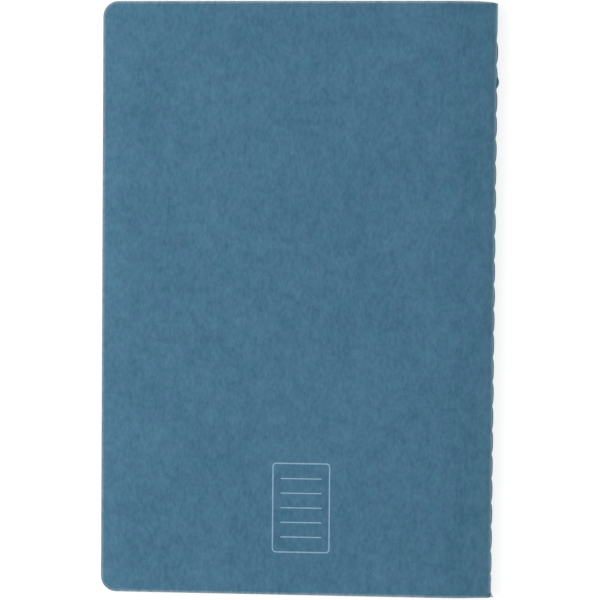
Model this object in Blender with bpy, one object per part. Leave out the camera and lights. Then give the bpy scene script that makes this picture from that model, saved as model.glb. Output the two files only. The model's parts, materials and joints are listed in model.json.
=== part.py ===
"""Softcover notebook, 139 x 210 mm: folded sheets in a card cover, sewn through the fold.

The notebook lies closed and face down on a table: front cover below, back cover above, the fold
towards +X and the head towards +Y. The folded card and each folded sheet are made as two leaves
that meet at the fold, because the fold is where they turn. The thread pulls the leaves together at
the fold, and they spring apart a little beyond it, so the closed notebook is thinner at its fold.
Every leaf turns about the line of the sewing thread, and each is parented to the one below it, so
turning one leaf about its own Y axis carries all the leaves above it, as turning a page does.
"""

import math

import bmesh
import bpy
from mathutils import Vector

# Trimmed size, in metres
CLOSED_WIDTH = 0.139
HEIGHT = 0.210
CORNER_RADIUS = 0.0055
CORNER_STEPS = 6

# Card and paper: thickness, number of folded sheets, and the air between two leaves
CARD = 0.00035
PAPER = 0.00010
SHEETS = 16
AIR = 0.00003
FOLD_AIR = 0.00002
SPRING_AIR = 0.000075
ARC_STEP = math.radians(9)

# The slope from the thin fold up to the full thickness: its length, and its number of flat steps
SLOPE = 0.0150
SLOPE_STEPS = 6

# Sewing: two threads side by side along the outside of the fold, dipping into each needle hole
THREAD_RADIUS = 0.000095
THREAD_SPACE = 0.00002
THREAD_CLEARANCE = 0.00003
DIP = 0.0003
DIP_HALF_LENGTH = 0.00052
HEAD_TO_FIRST_HOLE = 0.0135
TAIL_MARGIN = 0.0080
STITCH = 0.00856
HOLE_CLEARANCE_Z = 0.00008
HOLE_CLEARANCE_Y = 0.00013
HOLE_SIDES = 12

# Colours in linear light, and roughness
CARD_BLUE = (0.068, 0.170, 0.257, 1.0)
PAPER_CREAM = (0.80, 0.76, 0.66, 1.0)
THREAD_BLUE = (0.055, 0.150, 0.240, 1.0)
CARD_ROUGHNESS = 0.85
PAPER_ROUGHNESS = 0.90
THREAD_ROUGHNESS = 0.65

# Half of the thickness, from the middle plane outwards, at the fold and where the leaves are apart
FOLD_PITCH = PAPER + FOLD_AIR
FLAT_PITCH = PAPER + SPRING_AIR
FOLD_BLOCK = AIR / 2 + SHEETS * FOLD_PITCH - FOLD_AIR
FLAT_BLOCK = AIR / 2 + SHEETS * FLAT_PITCH - SPRING_AIR
FOLD_OUTER = FOLD_BLOCK + AIR + CARD
FLAT_OUTER = FLAT_BLOCK + AIR + CARD

# The thread line, which is the hinge line: how far it stands out from the centre of the fold arcs
THREAD_OFFSET = THREAD_RADIUS + THREAD_SPACE / 2
THREAD_REACH = THREAD_OFFSET + THREAD_RADIUS
HINGE_OUT = FOLD_OUTER + THREAD_CLEARANCE + THREAD_REACH
OVERALL_WIDTH = CLOSED_WIDTH + HINGE_OUT + THREAD_RADIUS - FOLD_OUTER

# Section coordinates are measured from the hinge line: x towards the fore edge is negative
ARC_CENTRE = -HINGE_OUT
FORE_EDGE = ARC_CENTRE + FOLD_OUTER - CLOSED_WIDTH
HINGE_LINE = Vector((OVERALL_WIDTH / 2 - THREAD_RADIUS, 0.0, FLAT_OUTER))


def hole_places():
    """Needle holes as distances along Y, from the head to the tail."""
    room = HEIGHT - HEAD_TO_FIRST_HOLE - TAIL_MARGIN
    stitches = int(room / STITCH)
    return [HEIGHT / 2 - HEAD_TO_FIRST_HOLE - i * STITCH for i in range(stitches + 1)]


def fold_arc(radius, lowest):
    """Points of a fold arc, from the top of the bend down to the height lowest."""
    end = math.asin(min(1.0, lowest / radius))
    turn = math.pi / 2 - end
    steps = max(1, round(turn / ARC_STEP))
    angles = [math.pi / 2 - i * ARC_STEP for i in range(steps)] + [end]
    return [(ARC_CENTRE + radius * math.cos(a), radius * math.sin(a)) for a in angles]


def slope(flat, fold):
    """Points of a face from the fore edge to the fold arc, which it leaves out."""
    points = [(FORE_EDGE, flat)]
    for step in range(SLOPE_STEPS):
        t = step / SLOPE_STEPS
        eased = t * t * (3 - 2 * t)
        points.append((ARC_CENTRE - SLOPE * (1 - t), flat + (fold - flat) * eased))
    return points


def folded_section(flat_inner, fold_inner, thickness, lowest):
    """Half of a folded leaf seen from the tail: flat, sloping to the fold, and bent down there."""
    fold_outer = fold_inner + thickness
    outer_face = slope(flat_inner + thickness, fold_outer) + fold_arc(fold_outer, lowest)
    if fold_inner > lowest + AIR / 2:
        inner_bend = fold_arc(fold_inner, lowest)
    else:
        inner_bend = [(ARC_CENTRE, fold_inner)]
    inner_face = slope(flat_inner, fold_inner) + inner_bend
    return outer_face + inner_face[::-1]


def flat_section(inner, outer):
    """The innermost leaf: it lies flat up to the cover, so that the middle spread opens flat."""
    end = ARC_CENTRE + FOLD_BLOCK
    return [(FORE_EDGE, inner), (FORE_EDGE, outer), (end, outer), (end, inner)]


def leaf_mesh(name, section, side):
    """Extrudes a section from head to tail and rounds its two fore-edge corners.

    side is 1 for a leaf above the middle plane and -1 for its mirror image below it.
    """
    work = bmesh.new()
    corners = [work.verts.new((x, HEIGHT / 2, side * z)) for x, z in section]
    head = work.faces.new(corners)
    pulled = bmesh.ops.extrude_face_region(work, geom=[head])["geom"]
    tail = [item for item in pulled if isinstance(item, bmesh.types.BMVert)]
    bmesh.ops.translate(work, verts=tail, vec=(0.0, -HEIGHT, 0.0))
    middle = FORE_EDGE / 2
    upright = [
        edge
        for edge in work.edges
        if all(v.co.x < middle for v in edge.verts) and edge.verts[0].co.y == edge.verts[1].co.y
        and edge.verts[0].co.x == edge.verts[1].co.x
    ]
    bmesh.ops.bevel(
        work,
        geom=upright,
        offset=CORNER_RADIUS,
        segments=CORNER_STEPS,
        profile=0.5,
        affect="EDGES",
        material=-1,
    )
    bmesh.ops.recalc_face_normals(work, faces=work.faces)
    mesh = bpy.data.meshes.new(name)
    work.to_mesh(mesh)
    work.free()
    mesh.shade_smooth()
    mesh.set_sharp_from_angle(angle=math.radians(30))
    return mesh


def finish(name, colour, roughness):
    material = bpy.data.materials.new(name)
    material.use_nodes = True
    shader = material.node_tree.nodes["Principled BSDF"]
    shader.inputs["Base Color"].default_value = colour
    shader.inputs["Roughness"].default_value = roughness
    shader.inputs["Metallic"].default_value = 0.0
    material.diffuse_color = colour
    return material


def place(name, data, material, carrier, location=(0.0, 0.0, 0.0)):
    """Puts a piece in the scene with its origin on the hinge line, carried by the one before."""
    data.materials.append(material)
    piece = bpy.data.objects.new(name, data)
    piece.parent = carrier
    piece.location = location
    bpy.context.collection.objects.link(piece)
    return piece


def needle_cutter():
    """One oval pin for each needle hole, lying along X through the fold of the card."""
    reach = CARD * 3
    half_z = THREAD_REACH + HOLE_CLEARANCE_Z
    half_y = DIP_HALF_LENGTH + HOLE_CLEARANCE_Y
    centre = ARC_CENTRE + FOLD_OUTER - CARD / 2
    work = bmesh.new()
    for y in hole_places():
        pin = bmesh.ops.create_cone(
            work, cap_ends=True, segments=HOLE_SIDES, radius1=1.0, radius2=1.0, depth=1.0
        )["verts"]
        for v in pin:
            v.co = Vector((centre + v.co.z * reach, y + v.co.y * half_y, v.co.x * half_z))
    bmesh.ops.recalc_face_normals(work, faces=work.faces)
    mesh = bpy.data.meshes.new("needle_cutter")
    work.to_mesh(mesh)
    work.free()
    cutter = bpy.data.objects.new("needle_cutter", mesh)
    cutter.hide_render = True
    cutter.display_type = "WIRE"
    bpy.context.collection.objects.link(cutter)
    return cutter


def pierce(cover, cutter):
    cut = cover.modifiers.new("needle_holes", "BOOLEAN")
    cut.operation = "DIFFERENCE"
    cut.solver = "EXACT"
    cut.object = cutter


def stitched_thread(name, side, material, carrier):
    """A thread that runs from hole to hole and dips into each one, locked at both ends."""
    holes = hole_places()
    half = DIP_HALF_LENGTH
    dip_points = [-1.0, -0.6, -0.3, 0.0, 0.3, 0.6, 1.0]
    route = []
    for number, y in enumerate(holes):
        for part in dip_points:
            inside_ends = (number > 0 or part >= 0) and (number < len(holes) - 1 or part <= 0)
            if inside_ends:
                depth = DIP * 0.5 * (1 + math.cos(math.pi * part))
                route.append(Vector((-depth, y - part * half, side * THREAD_OFFSET)))
        if number < len(holes) - 1:
            route.append(Vector((0.0, y - STITCH / 2, side * THREAD_OFFSET)))
    curve = bpy.data.curves.new(name, "CURVE")
    curve.dimensions = "3D"
    curve.bevel_depth = THREAD_RADIUS
    curve.bevel_resolution = 1
    curve.render_resolution_u = 0
    curve.use_fill_caps = True
    spline = curve.splines.new("POLY")
    spline.points.add(len(route) - 1)
    for point, place_on_route in zip(spline.points, route):
        point.co = (*place_on_route, 1.0)
    return place(name, curve, material, carrier)


def build():
    for item in list(bpy.data.objects):
        bpy.data.objects.remove(item, do_unlink=True)

    card = finish("cover_card", CARD_BLUE, CARD_ROUGHNESS)
    paper = finish("page_paper", PAPER_CREAM, PAPER_ROUGHNESS)
    thread = finish("sewing_thread", THREAD_BLUE, THREAD_ROUGHNESS)

    notebook = bpy.data.objects.new("notebook", None)
    bpy.context.collection.objects.link(notebook)
    cutter = needle_cutter()
    cutter.parent = notebook
    cutter.location = HINGE_LINE

    cover = folded_section(FLAT_BLOCK + AIR, FOLD_BLOCK + AIR, CARD, AIR / 2)
    front = place(
        "front_cover", leaf_mesh("front_cover", cover, -1), card, notebook, HINGE_LINE
    )
    pierce(front, cutter)

    # The lowest plane that a folded sheet may reach: the face of the innermost leaf, and the air
    fold_end = AIR / 2 + FOLD_PITCH
    carrier = front
    for side, half_name in ((-1, "front"), (1, "back")):
        sheets = range(1, SHEETS + 1) if side < 0 else range(SHEETS, 0, -1)
        for sheet in sheets:
            leaves_inside = SHEETS - sheet
            flat_inner = AIR / 2 + leaves_inside * FLAT_PITCH
            fold_inner = AIR / 2 + leaves_inside * FOLD_PITCH
            if leaves_inside == 0:
                section = flat_section(flat_inner, flat_inner + PAPER)
            else:
                section = folded_section(flat_inner, fold_inner, PAPER, fold_end)
            name = f"sheet_{sheet:02d}_{half_name}_leaf"
            carrier = place(name, leaf_mesh(name, section, side), paper, carrier)

    back = place("back_cover", leaf_mesh("back_cover", cover, 1), card, carrier)
    pierce(back, cutter)

    stitched_thread("needle_thread", -1, thread, front)
    stitched_thread("bobbin_thread", 1, thread, front)


build()
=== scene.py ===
"""Softcover notebook lying closed on a pale table, back cover up, seen from almost straight above.

The sheets come first, then the card cover round them, then the thread that holds both at the fold.
All lengths are metres, in the frame of the CAD model: +X towards the fold, +Y towards the head.
"""

import json
import math
import random

import bmesh
import bpy
from mathutils import Matrix, Vector


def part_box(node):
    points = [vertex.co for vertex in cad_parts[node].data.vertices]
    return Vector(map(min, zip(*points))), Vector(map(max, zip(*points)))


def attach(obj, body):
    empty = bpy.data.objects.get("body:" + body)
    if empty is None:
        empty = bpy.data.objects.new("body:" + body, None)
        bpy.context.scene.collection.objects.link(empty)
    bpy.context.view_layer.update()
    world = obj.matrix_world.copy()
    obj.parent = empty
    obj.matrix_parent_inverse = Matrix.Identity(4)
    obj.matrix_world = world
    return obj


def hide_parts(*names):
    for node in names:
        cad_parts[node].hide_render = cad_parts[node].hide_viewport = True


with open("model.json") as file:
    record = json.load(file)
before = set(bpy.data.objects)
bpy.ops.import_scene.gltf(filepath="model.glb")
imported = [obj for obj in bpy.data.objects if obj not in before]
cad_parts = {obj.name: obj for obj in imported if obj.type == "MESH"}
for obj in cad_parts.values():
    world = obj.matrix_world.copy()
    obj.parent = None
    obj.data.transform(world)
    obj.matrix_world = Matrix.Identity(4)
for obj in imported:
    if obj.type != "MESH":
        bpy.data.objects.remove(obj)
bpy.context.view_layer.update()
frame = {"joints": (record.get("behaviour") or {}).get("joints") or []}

# The room: a pale table, an even white tent of light round it, and one tall soft lamp close by on the
# side of the fore edge, which makes the card a little lighter there than at the fold. The background
# and the bare table are white for the camera, and the notebook keeps a faint shadow.
scene = bpy.context.scene
scene.view_settings.view_transform = "Standard"

ROOM_LIGHT = 0.70
TABLE_LIT = (0.80, 0.80, 0.80, 1.0)
TABLE_SEEN = (0.40, 0.40, 0.40, 1.0)
TABLE_LIFT = 0.70
TABLE_HALF = 1.6
TABLE_DROP = 0.00004
LAMP_PLACE = Vector((-0.34, 0.05, 0.34))
LAMP_SIZE = (0.30, 0.90)
LAMP_WATTS = 1.30
TABLE_ROUGHNESS = 0.9
WHITE = (1.0, 1.0, 1.0, 1.0)


class Reading:
    """What a node gives at each point of a surface; sums and products of it add Math nodes."""

    def __init__(self, nodes, socket):
        self.nodes = nodes
        self.socket = socket

    def math(self, operation, *values):
        return self.nodes.node("ShaderNodeMath", dict(enumerate(values)), operation=operation)

    def __add__(self, other):
        return self.math("ADD", self, other)

    def __radd__(self, other):
        return self.math("ADD", other, self)

    def __sub__(self, other):
        return self.math("SUBTRACT", self, other)

    def __rsub__(self, other):
        return self.math("SUBTRACT", other, self)

    def __mul__(self, other):
        return self.math("MULTIPLY", self, other)

    def __rmul__(self, other):
        return self.math("MULTIPLY", other, self)

    def __abs__(self):
        return self.math("ABSOLUTE", self)

    def root(self):
        return self.math("SQRT", self)

    def wrap(self, length):
        return self.math("WRAP", self, length, 0.0)

    def larger(self, other):
        return self.math("MAXIMUM", self, other)

    def smaller(self, other):
        return self.math("MINIMUM", self, other)

    def rise(self, start, end):
        """0 below start and 1 above end, with a smooth slope between them."""
        stops = {"Value": self, "From Min": start, "From Max": end}
        return self.nodes.node("ShaderNodeMapRange", stops, interpolation_type="SMOOTHSTEP")


class Nodes:
    """The nodes of one material or of the room's light."""

    def __init__(self, owner):
        owner.use_nodes = True
        self.tree = owner.node_tree

    def node(self, kind, sockets=(), output=0, **settings):
        made = self.tree.nodes.new(kind)
        for setting, value in settings.items():
            setattr(made, setting, value)
        for key, value in dict(sockets).items():
            self.feed(made.inputs[key], value)
        if isinstance(output, tuple):
            return [Reading(self, made.outputs[key]) for key in output]
        return Reading(self, made.outputs[output])

    def feed(self, socket, value):
        if isinstance(value, Reading):
            self.tree.links.new(value.socket, socket)
        else:
            socket.default_value = value

    def blend(self, factor, first, second):
        """The first colour where the factor is 0, and the second where it is 1."""
        sockets = {0: factor, 6: first, 7: second}
        return self.node("ShaderNodeMix", sockets, output=2, data_type="RGBA")


def into_scene(name, shape, materials, smooth=True):
    """Makes an object of a finished bmesh and its materials, and puts it in the scene."""
    mesh = bpy.data.meshes.new(name)
    shape.to_mesh(mesh)
    shape.free()
    for material in materials:
        mesh.materials.append(material)
    if smooth:
        mesh.shade_smooth()
    piece = bpy.data.objects.new(name, mesh)
    scene.collection.objects.link(piece)
    return piece


scene.world = bpy.data.worlds.new("room")
tent = Nodes(scene.world)
rays = ("Is Camera Ray", "Is Glossy Ray", "Is Transmission Ray")
to_camera, glossy, through = tent.node("ShaderNodeLightPath", output=rays)
seen = to_camera.larger(glossy).larger(through)
background = tent.tree.nodes["Background"].inputs
tent.feed(background["Color"], WHITE)
tent.feed(background["Strength"], ROOM_LIGHT + seen * (1.0 - ROOM_LIGHT))

table_paint = bpy.data.materials.new("table_top")
paint = Nodes(table_paint)
seen = paint.node("ShaderNodeLightPath", output="Is Camera Ray")
matt = paint.tree.nodes["Principled BSDF"].inputs
paint.feed(matt["Base Color"], paint.blend(seen, TABLE_LIT, TABLE_SEEN))
paint.feed(matt["Roughness"], TABLE_ROUGHNESS)
paint.feed(matt["Specular IOR Level"], 0.0)
paint.feed(matt["Emission Color"], WHITE)
paint.feed(matt["Emission Strength"], seen * TABLE_LIFT)

top = bmesh.new()
bmesh.ops.create_grid(top, x_segments=1, y_segments=1, size=TABLE_HALF)
bmesh.ops.translate(top, verts=top.verts, vec=(0.0, 0.0, -TABLE_DROP))
table = into_scene("table_top", top, [table_paint], smooth=False)

lamp_data = bpy.data.lights.new("soft_lamp", "AREA")
lamp_data.shape = "RECTANGLE"
lamp_data.size, lamp_data.size_y = LAMP_SIZE
lamp_data.energy = LAMP_WATTS
lamp = bpy.data.objects.new("soft_lamp", lamp_data)
lamp.location = LAMP_PLACE
lamp.rotation_euler = (0.0, math.atan2(LAMP_PLACE.x, LAMP_PLACE.z), 0.0)
lamp.visible_camera = False
scene.collection.objects.link(lamp)

# The camera stands 0.6 m over the table, a little towards the fold and the head, where the cover's
# four corners fall on their places in the photograph.
CAMERA_PLACE = (0.037002, 0.019874, 0.601648)
CAMERA_TURN = (-1.8881, 3.4880, 0.4747)
CAMERA_LENS = 101.39
CAMERA_FILM = 36.0

camera_data = bpy.data.cameras.new("camera")
camera_data.sensor_width = CAMERA_FILM
camera_data.lens = CAMERA_LENS
camera = bpy.data.objects.new("camera", camera_data)
camera.location = CAMERA_PLACE
camera.rotation_euler = [math.radians(turn) for turn in CAMERA_TURN]
scene.collection.objects.link(camera)
scene.camera = camera

# The sheets: sixteen of uncoated paper, folded once, nested, and trimmed together with round corners.
# Each gives a leaf in front of the middle and one behind it. The thread draws them in at the fold, and
# they spring apart beyond it, so each leaf is a flat panel with a slope down to a small bend.
hinge = Vector(frame["joints"][0]["pos_m"])
cover_low, cover_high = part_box("back_cover")
head_y = cover_high.y
fore_x = cover_low.x

SHEETS = 16
HALVES = ((-1, "front"), (1, "back"))
PAPER = 0.00010
MIDDLE_AIR = 0.00003
FOLD_PITCH = 0.00012
FLAT_PITCH = 0.000175
CARD = 0.00035
SLOPE = 0.0150
CORNER_RADIUS = 0.0055
CORNER_STEPS = 14
SHEET_SLOPE_STEPS = 12
SHEET_BEND_STEP = math.radians(11.0)
SHEET_GAP = 0.00012
TRIM_PLAY = 0.00003
DRAW_START = 17

STITCH = 0.00856
HEAD_TO_FIRST_HOLE = 0.0135
HOLE_COUNT = 23
HOLES = [head_y - HEAD_TO_FIRST_HOLE - number * STITCH for number in range(HOLE_COUNT)]
PAST_LAST_HOLE = 0.0045
PULL_DEPTH = 0.00022
PULL_HALF = 0.0020
PULL_END = 0.0024
PULL_BETWEEN = 0.35
PULL_FULL = 0.83
SHEET_ROWS = (-0.0030, -0.0017, -0.0008, 0.0, 0.0008, 0.0017, 0.0030)
HEAD_WORN = 0.00065
TAIL_WORN = 0.00020
TAIL_WORN_SPREAD = 1.4
WORN_LENGTH = 0.0080
FEWEST_BEND_STEPS = 3
TOUCHING = 1e-6

# At the fold, from the middle out: half of its air, the sheets, the air under the card, and the card
fold_inner = MIDDLE_AIR * 1.5 + SHEETS * FOLD_PITCH - (FOLD_PITCH - PAPER)
fold_reach = fold_inner + CARD
fold_x = cover_high.x - fold_reach
slope_x = fold_x - SLOPE


def from_hole(y):
    """How far a place along the fold is from the nearest needle hole."""
    return min(abs(y - hole) for hole in HOLES)


def fold_pull(y):
    """How strongly the thread draws the fold in: 1 at a needle hole, and 0 at the head and tail."""
    if HOLES[-1] < y < HOLES[0]:
        near = math.exp(-((from_hole(y) / PULL_HALF) ** 2))
        return PULL_BETWEEN + (1 - PULL_BETWEEN) * near
    return math.exp(-((from_hole(y) / PULL_END) ** 2))


def pull_in(leaf):
    """Draws the fold in along the thread, and less so the sheets that lie further inside."""
    for v in leaf.verts:
        out = (v.co.x - fold_x) / fold_reach
        if out > 0:
            v.co.x -= PULL_DEPTH * min(1.0, out / PULL_FULL) * fold_pull(v.co.y)


def wear_ends(leaf):
    """The head and tail of the fold are knocked in a little."""
    for v in leaf.verts:
        towards = (v.co.x - fold_x + WORN_LENGTH) / (fold_reach + WORN_LENGTH)
        if towards > 0 and v.co.y > head_y - TOUCHING:
            v.co.y -= HEAD_WORN * towards * towards
        elif towards > 0 and v.co.y < TOUCHING - head_y:
            v.co.y += TAIL_WORN * min(1.0, towards * TAIL_WORN_SPREAD)


def rows_at_holes(steps):
    """Places along the fold, at the same steps from every needle hole."""
    return [hole + step for hole in HOLES for step in steps]


def cut_across(leaf, rows):
    """Cuts a leaf's faces along rows across the fold, so that its edge can follow the stitches."""
    for y in rows:
        everything = leaf.verts[:] + leaf.edges[:] + leaf.faces[:]
        bmesh.ops.bisect_plane(leaf, geom=everything, plane_co=(0, y, 0), plane_no=(0, 1, 0))


def verts_of(made):
    """The vertices among what an operator has just made."""
    return [item for item in made["geom"] if isinstance(item, bmesh.types.BMVert)]


def edges_of(made):
    """The edges among what an operator has just made."""
    return [item for item in made["geom"] if isinstance(item, bmesh.types.BMEdge)]


def folded_leaf(flat_reach, reach, thickness, gap, fore, rows, slope_steps, bend_step):
    """Half of a folded sheet above the middle. The two reaches are how far its outer face is from the
    middle where the leaves are apart, and at the fold. The bend ends at the gap above the middle."""
    leaf = bmesh.new()
    outline = [(fore, head_y), (fore, -head_y), (slope_x, -head_y), (slope_x, head_y)]
    leaf.faces.new([leaf.verts.new((x, y, hinge.z + flat_reach)) for x, y in outline])
    bmesh.ops.bevel(
        leaf,
        geom=[v for v in leaf.verts if v.co.x < (fore + slope_x) / 2],
        offset=CORNER_RADIUS,
        segments=CORNER_STEPS,
        profile=0.5,
        affect="VERTICES",
        material=-1,
    )
    cut_across(leaf, rows)
    rim = [e for e in leaf.edges if all(v.co.x > slope_x - TOUCHING for v in e.verts)]
    parts = [step / slope_steps for step in range(slope_steps + 1)]
    eased = [(3 - 2 * t) * t * t for t in parts]
    for before, after in zip(eased, eased[1:]):
        pulled = bmesh.ops.extrude_edge_only(leaf, edges=rim)
        rim = edges_of(pulled)
        moved = verts_of(pulled)
        drop = (flat_reach - reach) * (after - before)
        bmesh.ops.translate(leaf, verts=moved, vec=(SLOPE / slope_steps, 0.0, -drop))
    bend = math.acos(gap / (reach - thickness))
    bmesh.ops.spin(
        leaf,
        geom=moved + rim,
        cent=(fold_x, 0.0, hinge.z),
        axis=(0.0, 1.0, 0.0),
        angle=bend,
        steps=max(FEWEST_BEND_STEPS, round(bend / bend_step)),
    )
    wear_ends(leaf)
    pull_in(leaf)
    return leaf


def finished_leaf(name, leaf, side, thickness, finishes):
    """Turns the leaf to its side of the middle, gives it its thickness and puts it in the scene."""
    if side < 0:
        leaf.transform(Matrix.Translation((0, 0, 2 * hinge.z)) @ Matrix.Scale(-1, 4, (0, 0, 1)))
    bmesh.ops.recalc_face_normals(leaf, faces=leaf.faces)
    panel = max(leaf.faces, key=lambda face: face.calc_area())
    if panel.normal.z * side < 0:
        bmesh.ops.reverse_faces(leaf, faces=leaf.faces)
    piece = into_scene(name, leaf, [finish.material for finish in finishes])
    wall = piece.modifiers.new("thickness", "SOLIDIFY")
    wall.thickness = thickness
    wall.offset = -1.0
    wall.use_even_offset = True
    wall.material_offset_rim = len(finishes) - 1
    return piece


class Finish(Nodes):
    """A surface finish: the material of a piece, whose patterns read Object coordinates."""

    def __init__(self, name, gloss):
        self.material = bpy.data.materials.new(name)
        super().__init__(self.material)
        self.shader = self.tree.nodes["Principled BSDF"].inputs
        self.feed(self.shader["Specular IOR Level"], gloss)
        self.place = self.node("ShaderNodeTexCoord", output="Object")

    def axes(self):
        return self.node("ShaderNodeSeparateXYZ", {0: self.place}, output=("X", "Y", "Z"))

    def mottle(self, size, shift=0.0, detail=0.0):
        """Soft random patches about size (x, y, z) across, as a value round 0."""
        spread = tuple(1.0 / length for length in size)
        mapping = {"Vector": self.place, "Location": (shift,) * 3, "Scale": spread}
        placed = self.node("ShaderNodeMapping", mapping)
        noise = self.node("ShaderNodeTexNoise", {"Vector": placed, "Scale": 1.0, "Detail": detail})
        return noise - 0.5

    def coat(self, colour, roughness, height, depth):
        """Gives the surface its colour, its roughness, and a relief of height times depth."""
        self.feed(self.shader["Base Color"], colour)
        self.feed(self.shader["Roughness"], roughness)
        bump = self.node("ShaderNodeBump", {"Height": height, "Distance": depth})
        self.feed(self.shader["Normal"], bump)


PAPER_PALE = (0.835, 0.800, 0.715, 1.0)
PAPER_WARM = (0.760, 0.715, 0.610, 1.0)
RULE_INK = (0.420, 0.470, 0.520, 1.0)
RULE_PITCH = 0.007
RULE_HALF = 0.00009
FIRST_RULE = 0.018
LAST_RULE = 0.012
RULE_SOLID = 0.6
RULE_STRENGTH = 0.62
HALF_ROW = RULE_PITCH / 2
INK_EDGE = 0.0001
PAPER_FIBRES = (0.0009, 0.0006, 0.0009)
PAPER_CLOUDS = (0.018, 0.024, 0.5)
PAPER_LEAVES = (40.0, 40.0, 0.00021)
PAPER_FIBRE_TINT = 0.9
PAPER_CLOUD_TINT = 0.5
PAPER_LEAF_TINT = 1.3
PAPER_ROUGHNESS = 0.92
PAPER_FIBRE_ROUGHNESS = 0.10
PAPER_RELIEF = 0.00003
CUT_PAPER_FIBRES = (0.0004, 0.0004, 0.00005)
CUT_PAPER_LEAVES = (0.9, 0.9, 0.0003)
CUT_PAPER_TINT = 1.2
CUT_PAPER_WARMTH = 0.45
CUT_PAPER_ROUGHNESS = 0.94
CUT_FIBRE_ROUGHNESS = 0.08
CUT_RELIEF = 0.00001

paper = Finish("page_paper", gloss=0.2)
_, y, _ = paper.axes()
fibres = paper.mottle(PAPER_FIBRES, shift=3.0, detail=2.0)
clouds = paper.mottle(PAPER_CLOUDS, shift=7.0)
by_leaf = paper.mottle(PAPER_LEAVES, shift=11.0)
warmth = 0.5 + fibres * PAPER_FIBRE_TINT + clouds * PAPER_CLOUD_TINT + by_leaf * PAPER_LEAF_TINT
sheet_colour = paper.blend(warmth, PAPER_PALE, PAPER_WARM)
near_row = abs((y + (FIRST_RULE - head_y)).wrap(RULE_PITCH) - HALF_ROW)
on_rule = near_row.rise(HALF_ROW - RULE_HALF, HALF_ROW - RULE_HALF * RULE_SOLID)
above_last = (y + head_y).rise(LAST_RULE - HALF_ROW, LAST_RULE - HALF_ROW + INK_EDGE)
below_first = (head_y - y).rise(FIRST_RULE - HALF_ROW, FIRST_RULE - HALF_ROW + INK_EDGE)
ink = on_rule * above_last * below_first * (RULE_STRENGTH + fibres)
ruled_colour = paper.blend(ink, sheet_colour, RULE_INK)
paper.coat(ruled_colour, PAPER_ROUGHNESS + fibres * PAPER_FIBRE_ROUGHNESS, fibres, PAPER_RELIEF)

cut_paper = Finish("cut_paper_edge", gloss=0.15)
frayed = cut_paper.mottle(CUT_PAPER_FIBRES, shift=5.0, detail=2.0)
leaves_apart = cut_paper.mottle(CUT_PAPER_LEAVES, shift=2.0)
cut_warmth = CUT_PAPER_WARMTH + frayed * CUT_PAPER_TINT + leaves_apart * CUT_PAPER_TINT
cut_colour = cut_paper.blend(cut_warmth, PAPER_PALE, PAPER_WARM)
cut_roughness = CUT_PAPER_ROUGHNESS + frayed * CUT_FIBRE_ROUGHNESS
cut_paper.coat(cut_colour, cut_roughness, frayed, CUT_RELIEF)

end_rows = [HOLES[0] + PAST_LAST_HOLE, HOLES[-1] - PAST_LAST_HOLE]
sheet_rows = rows_at_holes(SHEET_ROWS) + end_rows
draw = random.Random(DRAW_START)
for number in range(1, SHEETS):
    leaves_inside = SHEETS - number
    flat_reach = MIDDLE_AIR / 2 + leaves_inside * FLAT_PITCH + PAPER
    reach = MIDDLE_AIR / 2 + leaves_inside * FOLD_PITCH + PAPER
    for side, half in HALVES:
        node = f"sheet_{number:02d}_{half}_leaf"
        leaf = folded_leaf(
            flat_reach,
            reach,
            PAPER,
            SHEET_GAP,
            fore_x + draw.uniform(0.0, TRIM_PLAY),
            sheet_rows,
            SHEET_SLOPE_STEPS,
            SHEET_BEND_STEP,
        )
        # The trimmed edges stay sharp, so that the shading of the page runs on flat up to them
        for edge in leaf.edges:
            edge.smooth = not edge.is_boundary
        sheet = finished_leaf(node + "_paper", leaf, side, PAPER, [paper, cut_paper])
        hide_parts(node)
        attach(sheet, node)

# The innermost sheet is creased flat: its two leaves run on to the thread, so that the middle spread
# has a paper gutter when the notebook lies open there. Over the last half millimetre they are thin.
# The thread lies on the card's fold outside them, and sinks into it at each needle hole.
CREASE_THIN = 0.000010
CREASE_NEAR = 0.000002
CREASE_LENGTH = 0.00045
CREASE_TO_THREAD = 0.00005
THREAD_ON_CARD = 0.00010
SINK = 0.00020
SINK_HALF = 0.00090
CREASE_ROWS = (-0.0030, -0.0017, -0.0010, -0.0006, -0.0003, 0.0, 0.0003, 0.0006, 0.0010, 0.0017, 0.0030)


def thread_line(y):
    """Where the middle of the thread lies across the fold, at a place along it."""
    sunk = SINK * math.exp(-((from_hole(y) / SINK_HALF) ** 2))
    return cover_high.x - PULL_DEPTH * fold_pull(y) + THREAD_ON_CARD - sunk


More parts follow.
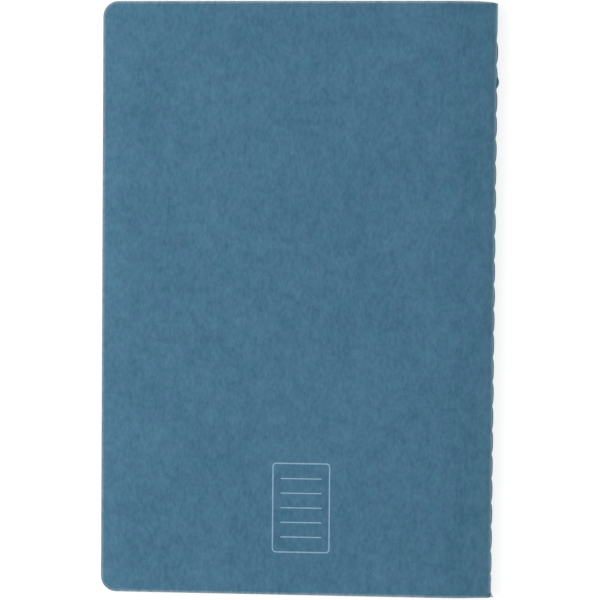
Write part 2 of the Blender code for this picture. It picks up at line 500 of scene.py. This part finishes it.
for side, half in HALVES:
    node = f"sheet_{SHEETS}_{half}_leaf"
    low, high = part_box(node)
    near, far = sorted((abs(low.z - hinge.z), abs(high.z - hinge.z)))
    section = [
        (low.x, near),
        (low.x, far),
        (high.x, far),
        (high.x, CREASE_NEAR + CREASE_THIN),
        (hinge.x, CREASE_NEAR + CREASE_THIN),
        (hinge.x, CREASE_NEAR),
        (high.x - CREASE_LENGTH, CREASE_NEAR),
        (high.x - 2 * CREASE_LENGTH, near),
    ]
    leaf = bmesh.new()
    cut = leaf.faces.new([leaf.verts.new((x, head_y, hinge.z + side * up)) for x, up in section])
    tail = verts_of(bmesh.ops.extrude_face_region(leaf, geom=[cut]))
    bmesh.ops.translate(leaf, verts=tail, vec=(0.0, -2 * head_y, 0.0))
    upright = [
        edge
        for edge in leaf.edges
        if all(v.co.x < low.x + TOUCHING for v in edge.verts)
        and abs(edge.verts[0].co.y - edge.verts[1].co.y) < TOUCHING
    ]
    bmesh.ops.bevel(
        leaf,
        geom=upright,
        offset=CORNER_RADIUS,
        segments=CORNER_STEPS,
        profile=0.5,
        affect="EDGES",
        material=-1,
    )
    cut_across(leaf, rows_at_holes(CREASE_ROWS))
    crease = [v for v in leaf.verts if v.co.x > hinge.x - TOUCHING]
    wear_ends(leaf)
    pull_in(leaf)
    for v in crease:
        v.co.x = thread_line(v.co.y) - CREASE_TO_THREAD
    bmesh.ops.recalc_face_normals(leaf, faces=leaf.faces)
    sheet = into_scene(node + "_paper", leaf, [paper.material], smooth=False)
    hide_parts(node)
    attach(sheet, node)

# The cover: one piece of matt recycled card, dyed blue through, folded round the sheets and trimmed
# with them. Short fibres and dye that took unevenly make soft upright patches. The trimmed edges are
# rubbed greyer, and the card turns greyer blue just before the bend. The outer bend of the fold is
# paler, partly rubbed and partly a painted sheen. The card is painted lighter towards the fore edge,
# and painted shade darkens its slope down to the fold. Half of each needle hole is a notch in the end
# of the bend.
COVER_GAP = 0.000013
COVER_SLOPE_STEPS = 20
COVER_BEND_STEP = math.radians(9.0)
HOLE_HALF_LENGTH = 0.00065
HOLE_HALF_HEIGHT = 0.00028
COVER_ROWS = (0.0, 0.25, 0.5, 0.75, 0.93, 1.0, 1.4, 1.9, 2.8, 3.8, 5.2)
CARD_EDGE = 0.00004
CARD_EDGE_SEGMENTS = 2
CARD_EDGE_ANGLE = math.radians(45)
CARD_DARK_TEAL = (0.0373, 0.1338, 0.2094, 1.0)
CARD_DARK_VIOLET = (0.0426, 0.1269, 0.2134, 1.0)
CARD_LIGHT_TEAL = (0.0737, 0.2027, 0.2980, 1.0)
CARD_LIGHT_VIOLET = (0.0817, 0.1947, 0.3020, 1.0)
CARD_RUBBED = (0.3000, 0.3850, 0.4200, 1.0)
CARD_GREY_BEFORE_BEND = (0.0700, 0.1600, 0.1800, 1.0)
FOLD_WEAR_AND_SHEEN = (0.2600, 0.4400, 0.5200, 1.0)
CARD_CUT = (0.1150, 0.1650, 0.2050, 1.0)
RUBBED_WIDTH = 0.00125
PAST_EDGE = 0.0001
RUBBED_SHARE = 0.72
FOLD_WEAR_AND_SHEEN_WIDTH = 0.0024
FOLD_WEAR_AND_SHEEN_SHARE = 0.50
RUBBED_PATCHES = 0.9
RUBBED_SPECKS = 0.5
FOLD_WEAR_AND_SHEEN_PATCHES = 0.5
FOLD_LIP_WIDTH = 0.0009
FOLD_LIP_SHARE = 0.38
GREY_BEFORE_BEND_FROM = 0.007
GREY_BEFORE_BEND_TO = 0.002
GREY_BEFORE_BEND_SHARE = 0.15
FORE_LIGHT_WIDTH = 0.0120
PAINTED_FORE_LIGHT_TONE = 0.20
SHADED_BEFORE_SLOPE = 0.002
SHADED_ON_SLOPE = 0.007
SHADED_TONE = 0.13
CARD_SPECKS = (0.00055, 0.0009, 0.0009)
CARD_PATCHES = (0.0013, 0.0022, 0.0022)
CARD_SOFT_PATCHES = (0.0040, 0.0056, 0.0056)
CARD_CLOUDS = (0.016, 0.020, 0.020)
CARD_HUES = (0.0045, 0.0050, 0.0050)
SPECK_TONE = 0.50
PATCH_TONE = 1.18
SOFT_PATCH_TONE = 0.58
CARD_CLOUD_TONE = 0.36
HUE_CHANGE = 1.6
CARD_ROUGHNESS = 0.86
SPECK_ROUGHNESS = 0.10
RUBBED_SMOOTHER = 0.08
SPECK_RELIEF = 0.6
CARD_RELIEF = 0.00005
CUT_CARD_LAYERS = (0.0008, 0.0008, 0.00006)
CUT_CARD_TINT = 1.6
CUT_CARD_ROUGHNESS = 0.93


def notch(leaf):
    """Lifts the end of the bend into half an oval at each needle hole."""
    lowest = min(v.co.z for v in leaf.verts)
    for v in leaf.verts:
        near = from_hole(v.co.y) / HOLE_HALF_LENGTH
        if near < 1 and v.co.z < lowest + TOUCHING:
            v.co.z = max(v.co.z, hinge.z + HOLE_HALF_HEIGHT * math.sqrt(1 - near * near))


def outside_box(x, y, centre, half, radius):
    """How far a point lies outside a rectangle with round corners; below 0 it is inside."""
    across = abs(x - centre[0]) - (half[0] - radius)
    along = abs(y - centre[1]) - (half[1] - radius)
    over_across = across.larger(0.0)
    over_along = along.larger(0.0)
    beyond = (over_across * over_across + over_along * over_along).root()
    return beyond + across.larger(along).smaller(0.0) - radius


def dyed_card_and_painted_light(finish):
    """The card before anything is printed on it: its colour with its painted light and shade, its
    roughness and relief.
    """
    x, y, _ = finish.axes()
    specks = finish.mottle(CARD_SPECKS, shift=1.0)
    patches = finish.mottle(CARD_PATCHES, shift=2.0, detail=1.0)
    soft = finish.mottle(CARD_SOFT_PATCHES, shift=3.0)
    clouds = finish.mottle(CARD_CLOUDS, shift=4.0)
    tone = 0.5 + specks * SPECK_TONE + patches * PATCH_TONE
    tone = tone + soft * SOFT_PATCH_TONE + clouds * CARD_CLOUD_TONE
    # Painted light: the card is painted lighter over the last 12 mm to the fore edge.
    painted_fore_light = 1.0 - x.rise(fore_x, fore_x + FORE_LIGHT_WIDTH)
    # Painted shade: the card is painted darker from just before the slope down to the fold.
    painted_slope_shade = x.rise(slope_x - SHADED_BEFORE_SLOPE, slope_x + SHADED_ON_SLOPE)
    tone = tone + painted_fore_light * PAINTED_FORE_LIGHT_TONE - painted_slope_shade * SHADED_TONE
    hue = 0.5 + finish.mottle(CARD_HUES, shift=9.0) * HUE_CHANGE
    dark = finish.blend(hue, CARD_DARK_TEAL, CARD_DARK_VIOLET)
    light = finish.blend(hue, CARD_LIGHT_TEAL, CARD_LIGHT_VIOLET)
    # The outline of the trimmed card runs on past the fold, which is no cut edge
    half_width = -2 * fore_x
    trimmed = outside_box(x, y, (fore_x + half_width, 0.0), (half_width, head_y), CORNER_RADIUS)
    rubbed_share = RUBBED_SHARE + patches * RUBBED_PATCHES + specks * RUBBED_SPECKS
    rubbed = trimmed.rise(-RUBBED_WIDTH, PAST_EDGE) * rubbed_share
    # The outer bend of the fold is painted paler: partly rubbed wear, partly a painted sheen where the
    # bend turns to the side.
    on_bend = x.rise(cover_high.x - FOLD_WEAR_AND_SHEEN_WIDTH, cover_high.x)
    on_lip = x.rise(cover_high.x - FOLD_LIP_WIDTH, cover_high.x)
    bend_share = FOLD_WEAR_AND_SHEEN_SHARE + patches * FOLD_WEAR_AND_SHEEN_PATCHES
    fold_wear_and_sheen = on_bend * on_bend * bend_share + on_lip * FOLD_LIP_SHARE
    # The card turns greyer blue over the last few millimetres before the bend.
    grey_before_bend = x.rise(cover_high.x - GREY_BEFORE_BEND_FROM, cover_high.x - GREY_BEFORE_BEND_TO) * GREY_BEFORE_BEND_SHARE
    colour = finish.blend(grey_before_bend, finish.blend(tone, dark, light), CARD_GREY_BEFORE_BEND)
    colour = finish.blend(fold_wear_and_sheen, colour, FOLD_WEAR_AND_SHEEN)
    colour = finish.blend(rubbed, colour, CARD_RUBBED)
    roughness = CARD_ROUGHNESS + specks * SPECK_ROUGHNESS - (rubbed + fold_wear_and_sheen) * RUBBED_SMOOTHER
    return colour, roughness, specks * SPECK_RELIEF + patches


plain_card = Finish("cover_card", gloss=0.3)
card_colour, card_roughness, card_height = dyed_card_and_painted_light(plain_card)
plain_card.coat(card_colour, card_roughness, card_height, CARD_RELIEF)

cut_card = Finish("cut_card_edge", gloss=0.15)
layers = cut_card.mottle(CUT_CARD_LAYERS, shift=6.0, detail=2.0)
cut_colour = cut_card.blend(0.5 + layers * CUT_CARD_TINT, CARD_CUT, CARD_LIGHT_VIOLET)
cut_roughness = CUT_CARD_ROUGHNESS + layers * CUT_FIBRE_ROUGHNESS
cut_card.coat(cut_colour, cut_roughness, layers, CUT_RELIEF)

# A small panel is printed on the back cover near the tail: a thin round-cornered frame with five
# plain rules to write on, in ink a little paler than the card. The tail end of the fold has a spot of
# painted shade, for the hollow of its crushed corner.
PANEL_CENTRE = (0.001825, -0.073885)
PANEL_HALF = (0.01005, 0.01580)
PANEL_CORNER = 0.0012
PANEL_LINE = 0.00022
PANEL_RULE_HALF = 0.0072
PANEL_RULE_PITCH = 0.0052
PANEL_RULES = 5
PANEL_INK = (0.330, 0.500, 0.640, 1.0)
FRAME_SOLID = 0.7
FRAME_EDGE = 1.3
PANEL_RULE_SOLID = 0.6
PANEL_RULE_EDGE = 1.2
PRINT_FROM = 0.0003
PRINT_WHOLE = 0.0002
PRINT_SHARE = 0.78
PRINT_GRAIN = (0.0007, 0.0007, 0.0007)
PRINT_WEAR = 0.9
CORNER_SHADE_PLACE = (cover_high.x - 0.0004, 0.0010 - head_y)
CORNER_SHADE_RADIUS = 0.0012
CORNER_SHADE_COLOUR = (0.055, 0.095, 0.135, 1.0)
CORNER_SHADE_CORE = 0.3
CORNER_SHADE_SHARE = 0.65

printed_card = Finish("printed_cover_card", gloss=0.3)
card_colour, card_roughness, card_height = dyed_card_and_painted_light(printed_card)
x, y, z = printed_card.axes()
outline = abs(outside_box(x, y, PANEL_CENTRE, PANEL_HALF, PANEL_CORNER))
inked = 1.0 - outline.rise(PANEL_LINE * FRAME_SOLID, PANEL_LINE * FRAME_EDGE)
across = 1.0 - abs(x - PANEL_CENTRE[0]).rise(PANEL_RULE_HALF, PANEL_RULE_HALF + INK_EDGE)
for number in range(PANEL_RULES):
    rule_y = PANEL_CENTRE[1] + (number - (PANEL_RULES - 1) / 2) * PANEL_RULE_PITCH
    off_rule = abs(y - rule_y)
    rule = 1.0 - off_rule.rise(PANEL_LINE * PANEL_RULE_SOLID, PANEL_LINE * PANEL_RULE_EDGE)
    inked = inked.larger(rule * across)
outer_face = z.rise(cover_high.z - PRINT_FROM, cover_high.z - PRINT_WHOLE)
print_wear = printed_card.mottle(PRINT_GRAIN, shift=14.0, detail=1.0)
inked = inked * outer_face * (PRINT_SHARE + print_wear * PRINT_WEAR)
# Painted shade: a dark spot at the tail end of the fold stands for the shadow in the hollow of its
# crushed corner.
off_x = x - CORNER_SHADE_PLACE[0]
off_y = y - CORNER_SHADE_PLACE[1]
from_corner_shade = (off_x * off_x + off_y * off_y).root()
painted_corner_shade = 1.0 - from_corner_shade.rise(CORNER_SHADE_RADIUS * CORNER_SHADE_CORE, CORNER_SHADE_RADIUS)
printed_colour = printed_card.blend(inked, card_colour, PANEL_INK)
printed_colour = printed_card.blend(painted_corner_shade * CORNER_SHADE_SHARE, printed_colour, CORNER_SHADE_COLOUR)
printed_card.coat(printed_colour, card_roughness, card_height, CARD_RELIEF)

cover_steps = [way * part * HOLE_HALF_LENGTH for part in COVER_ROWS for way in (-1, 1)]
cover_rows = sorted(set(end_rows + rows_at_holes(cover_steps)))

for node, side, finish in (("front_cover", -1, plain_card), ("back_cover", 1, printed_card)):
    leaf = folded_leaf(
        cover_high.z - hinge.z,
        fold_reach,
        CARD,
        COVER_GAP,
        fore_x,
        cover_rows,
        COVER_SLOPE_STEPS,
        COVER_BEND_STEP,
    )
    notch(leaf)
    cover = finished_leaf(node + "_card", leaf, side, CARD, [finish, cut_card])
    softened = cover.modifiers.new("cut_edge", "BEVEL")
    softened.width = CARD_EDGE
    softened.segments = CARD_EDGE_SEGMENTS
    softened.limit_method = "ANGLE"
    softened.angle_limit = CARD_EDGE_ANGLE
    softened.harden_normals = True
    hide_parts(node)
    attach(cover, node)

# The thread: a lockstitch of two blue three-ply threads along the outside of the fold. They lie side
# by side on the card and dip into each needle hole together. The first stitches of the upper one are
# a little loose.
PLIES = 3
PLY_RADIUS = 0.0000455
PLY_OUT = 0.000054
PLY_SIDES = 6
THREAD_APART = 0.000100
TWIST_STEPS = 8
TWIST_DOUBLINGS = 8
SLACK = 0.00008
FIRST_SLACK = 0.00010
FIRST_STITCHES = 3
NEEDLE_LOOSE = 0.3
BOBBIN_LOOSE = 1.0
LAST_STITCH = HOLE_COUNT - 1.001
WELD = PLY_RADIUS / 40
THREAD_DARK = (0.045, 0.120, 0.200, 1.0)
THREAD_LIGHT = (0.120, 0.250, 0.350, 1.0)
THREAD_FIBRES = (0.00006, 0.00030, 0.00006)
THREAD_WEAR = (0.004, 0.006, 0.004)
THREAD_TONE = 0.45
THREAD_FIBRE_TONE = 1.3
THREAD_WEAR_TONE = 0.8
THREAD_ROUGHNESS = 0.62
THREAD_FIBRE_ROUGHNESS = 0.20
THREAD_RELIEF = 0.00002

thread = Finish("sewing_thread", gloss=0.4)
strands = thread.mottle(THREAD_FIBRES, shift=4.0, detail=2.0)
worn = thread.mottle(THREAD_WEAR, shift=8.0)
thread_tone = THREAD_TONE + strands * THREAD_FIBRE_TONE + worn * THREAD_WEAR_TONE
thread_colour = thread.blend(thread_tone, THREAD_DARK, THREAD_LIGHT)
thread_roughness = THREAD_ROUGHNESS + strands * THREAD_FIBRE_ROUGHNESS
thread.coat(thread_colour, thread_roughness, strands, THREAD_RELIEF)

twist = (HOLES[0] - HOLES[-1]) / 2**TWIST_DOUBLINGS
facing = Matrix.Rotation(math.pi / 2, 4, "X")
for node, side, loose in (("needle_thread", -1, NEEDLE_LOOSE), ("bobbin_thread", 1, BOBBIN_LOOSE)):
    centre = Vector((0.0, HOLES[0], hinge.z + side * THREAD_APART))
    plies = bmesh.new()
    for ply in range(PLIES):
        around = ply * math.tau / PLIES
        offset = Vector((PLY_OUT * math.cos(around), 0.0, PLY_OUT * math.sin(around)))
        bmesh.ops.create_circle(
            plies,
            cap_ends=False,
            segments=PLY_SIDES,
            radius=PLY_RADIUS,
            matrix=Matrix.Translation(centre + offset) @ facing,
        )
    bmesh.ops.spin(
        plies,
        geom=plies.verts[:] + plies.edges[:],
        cent=centre,
        axis=(0.0, 1.0, 0.0),
        dvec=(0.0, -twist / TWIST_STEPS, 0.0),
        angle=math.tau,
        steps=TWIST_STEPS,
    )
    for doubling in range(TWIST_DOUBLINGS):
        made = plies.verts[:] + plies.edges[:] + plies.faces[:]
        copied = verts_of(bmesh.ops.duplicate(plies, geom=made))
        bmesh.ops.translate(plies, verts=copied, vec=(0.0, -twist * 2**doubling, 0.0))
    bmesh.ops.remove_doubles(plies, verts=plies.verts, dist=WELD)
    slack = []
    for number in range(HOLE_COUNT):
        slack.append(SLACK * draw.random() + FIRST_SLACK * math.exp(-number / FIRST_STITCHES))
    for v in plies.verts:
        along = min(max((HOLES[0] - v.co.y) / STITCH, 0.0), LAST_STITCH)
        stitch = int(along)
        bow = slack[stitch] * loose * math.sin(math.pi * (along - stitch)) ** 2
        v.co.x += thread_line(v.co.y) + bow
    bmesh.ops.holes_fill(plies, edges=plies.edges, sides=0)
    bmesh.ops.recalc_face_normals(plies, faces=plies.faces)
    piece = into_scene(node + "_plies", plies, [thread.material])
    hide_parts(node)
    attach(piece, "front_cover")

# The knot and the cut end: the thread is tied off in a wound knot on the second stitch from the head,
# and its other end runs from the last hole under the fold to the tail, where it sticks out a little.
STRAND_RADIUS = 0.00011
STRAND_SIDES = 8
KNOT_Y = 0.0768
KNOT_UP = 0.00032
KNOT_OUT = 0.00040
KNOT_THIN = 0.00010
KNOT_RADIUS = 0.00027
KNOT_LENGTH = 0.0042
KNOT_TURNS = 16
KNOT_STEPS = 12
KNOT_TAIL = 0.0007
END_ROUTE = (
    (-0.00055, -0.09682, -0.00010),
    (-0.00026, -0.09740, -0.00022),
    (-0.00020, -0.09830, -0.00052),
    (-0.00027, -0.09940, -0.00082),
    (-0.00038, -0.10060, -0.00108),
    (-0.00044, -0.10180, -0.00120),
    (-0.00036, -0.10270, -0.00100),
    (-0.00021, -0.10330, -0.00062),
    (-0.00012, -0.10372, -0.00028),
    (-0.00007, -0.10398, 0.00002),
    (0.00006, -0.10412, 0.00023),
    (0.00020, -0.10430, 0.00027),
    (0.00036, -0.10450, 0.00026),
    (0.00042, -0.10470, 0.00024),
    (0.00028, -0.10486, 0.00026),
    (0.00008, -0.10476, 0.00032),
    (0.00002, -0.10445, 0.00036),
    (0.00010, -0.10420, 0.00040),
    (0.00024, -0.10436, 0.00042),
    (0.00026, -0.10464, 0.00042),
)
END_DARK = (0.085, 0.185, 0.320, 1.0)
END_LIGHT = (0.170, 0.320, 0.480, 1.0)
END_FIBRES = (0.00008, 0.00016, 0.00008)
END_FIBRE_TONE = 1.4
END_ROUGHNESS = 0.60

frayed_thread = Finish("thread_ends", gloss=0.4)
strands = frayed_thread.mottle(END_FIBRES, shift=6.0, detail=2.0)
end_colour = frayed_thread.blend(THREAD_TONE + strands * END_FIBRE_TONE, END_DARK, END_LIGHT)
end_roughness = END_ROUGHNESS + strands * THREAD_FIBRE_ROUGHNESS
frayed_thread.coat(end_colour, end_roughness, strands, THREAD_RELIEF)


def laid_strand(name, route):
    """A length of thread: one round of points, extruded from place to place along its route."""
    strand = bmesh.new()
    headings = [(after - before).normalized() for before, after in zip(route, route[1:])]
    headings.append(headings[-1])
    facing = Vector((0.0, 0.0, 1.0)).rotation_difference(headings[0]).to_matrix().to_4x4()
    bmesh.ops.create_circle(
        strand,
        cap_ends=False,
        segments=STRAND_SIDES,
        radius=STRAND_RADIUS,
        matrix=Matrix.Translation(route[0]) @ facing,
    )
    round_edges = strand.edges[:]
    for number in range(1, len(route)):
        pulled = bmesh.ops.extrude_edge_only(strand, edges=round_edges)
        round_edges = edges_of(pulled)
        moved = verts_of(pulled)
        bmesh.ops.translate(strand, verts=moved, vec=route[number] - route[number - 1])
        turn = headings[number - 1].rotation_difference(headings[number]).to_matrix()
        bmesh.ops.rotate(strand, verts=moved, cent=route[number], matrix=turn)
    bmesh.ops.holes_fill(strand, edges=strand.edges, sides=0)
    bmesh.ops.recalc_face_normals(strand, faces=strand.faces)
    piece = into_scene(name, strand, [frayed_thread.material])
    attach(piece, "front_cover")


wound = []
for step in range(KNOT_TURNS * KNOT_STEPS + 1):
    part = step / (KNOT_TURNS * KNOT_STEPS)
    angle = math.tau * step / KNOT_STEPS
    swell = math.sin(math.pi * part)
    radius = KNOT_THIN + (KNOT_RADIUS - KNOT_THIN) * swell
    y = KNOT_Y + KNOT_LENGTH * (0.5 - part)
    x = thread_line(y) + KNOT_OUT * swell + radius * math.cos(angle)
    up = THREAD_APART + KNOT_UP * swell + radius * math.sin(angle)
    wound.append(Vector((x, y, hinge.z + up)))
first_tip = wound[0] + Vector((-KNOT_THIN / 2, KNOT_TAIL, 0.0))
last_tip = wound[-1] + Vector((-KNOT_THIN / 2, -KNOT_TAIL, 0.0))
laid_strand("thread_knot", [first_tip, *wound, last_tip])
hinge_foot = Vector((hinge.x, 0.0, hinge.z))
laid_strand("thread_end", [hinge_foot + Vector(place) for place in END_ROUTE])
